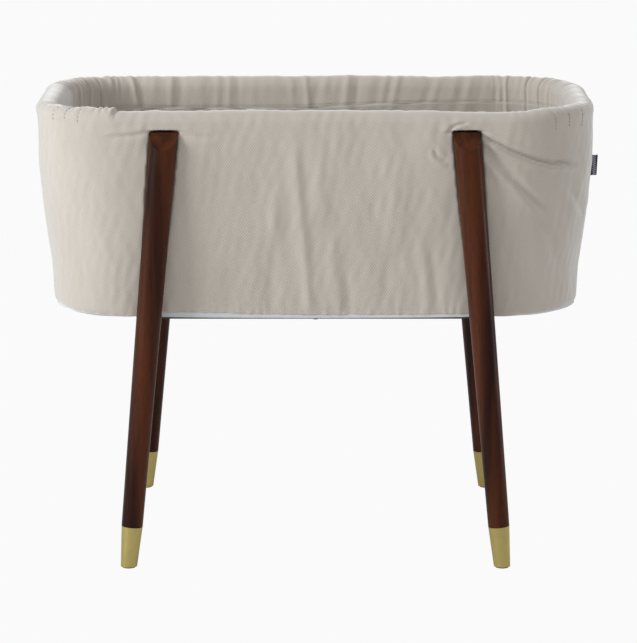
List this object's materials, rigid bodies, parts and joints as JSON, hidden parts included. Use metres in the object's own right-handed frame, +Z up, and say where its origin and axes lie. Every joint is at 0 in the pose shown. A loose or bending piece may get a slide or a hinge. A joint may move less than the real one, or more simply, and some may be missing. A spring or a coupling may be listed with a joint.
{
  "type": "baby cradle",
  "caption": "Padded fabric bassinet basket on splayed round wooden legs with metal foot caps, steel under-frame and a lift-out mattress.",
  "frame": {"origin": "on the floor, under the middle of the basket", "axes": "+Z up, X along the basket's length, front side towards -Y"},
  "size_m": [0.8998, 0.5532, 0.727],
  "materials": {
    "walnut_stain": "dark walnut stain under satin lacquer",
    "brass": "pale satin brass",
    "felt": "dense felt pad",
    "coated_steel": "dark powder coat",
    "zinc_steel": "zinc plated",
    "insert_brass": "machined",
    "foam": "polyurethane foam and wadding",
    "grey_board": "light grey laminated fibreboard",
    "cover_twill": "soft cotton twill, warm beige grey",
    "hem_tape": "light grey woven binding tape",
    "liner_twill": "soft cotton twill, warm beige grey",
    "label": "woven tag",
    "mattress_foam": "firm polyurethane foam",
    "mattress_fabric": "quilted cotton jersey",
    "mattress_piping": "corded cotton piping",
    "zip_tape": "woven tape with nylon coil",
    "zip_metal": "plated die-cast"
  },
  "bodies": {
    "stand_and_basket": {"leg_front_left": "walnut_stain", "leg_front_right": "walnut_stain", "leg_back_left": "walnut_stain", "leg_back_right": "walnut_stain", "foot_cap_front_left": "brass", "foot_cap_front_right": "brass", "foot_cap_back_left": "brass", "foot_cap_back_right": "brass", "floor_glide_front_left": "felt", "floor_glide_front_right": "felt", "floor_glide_back_left": "felt", "floor_glide_back_right": "felt", "leg_bracket_front_left": "coated_steel", "leg_bracket_front_right": "coated_steel", "leg_bracket_back_left": "coated_steel", "leg_bracket_back_right": "coated_steel", "rim_tube_left": "coated_steel", "rim_tube_right": "coated_steel", "side_rail_front": "coated_steel", "side_rail_back": "coated_steel", "crossbar_left": "coated_steel", "crossbar_right": "coated_steel", "rim_connector_front": "zinc_steel", "rim_connector_back": "zinc_steel", "rim_connector_screws": "zinc_steel", "upper_leg_bolts": "zinc_steel", "lower_leg_bolts": "zinc_steel", "leg_bolt_washers": "zinc_steel", "base_bolts": "zinc_steel", "base_tee_nuts": "zinc_steel", "leg_threaded_inserts": "insert_brass", "rim_foam_sleeve": "foam", "wall_padding": "foam", "base_board": "grey_board", "outer_cover": "cover_twill", "hem_binding": "hem_tape", "inner_liner": "liner_twill", "liner_floor": "liner_twill", "cover_label": "label"},
    "mattress": {"mattress_core": "mattress_foam", "mattress_top_panel": "mattress_fabric", "mattress_border": "mattress_fabric", "mattress_bottom_panel": "mattress_fabric", "mattress_piping_top": "mattress_piping", "mattress_piping_bottom": "mattress_piping", "zip_chain": "zip_tape"},
    "zip_pull": {"zip_slider": "zip_metal"}
  },
  "joints": [
    {"name": "mattress_lift", "type": "slide", "parent": "stand_and_basket", "child": "mattress", "axis": [0, 0, 1], "range_m": [0, 0.36]},
    {"name": "zip_slide", "type": "slide", "parent": "mattress", "child": "zip_pull", "axis": [1, 0, 0], "range_m": [0, 0.5]}
  ]
}
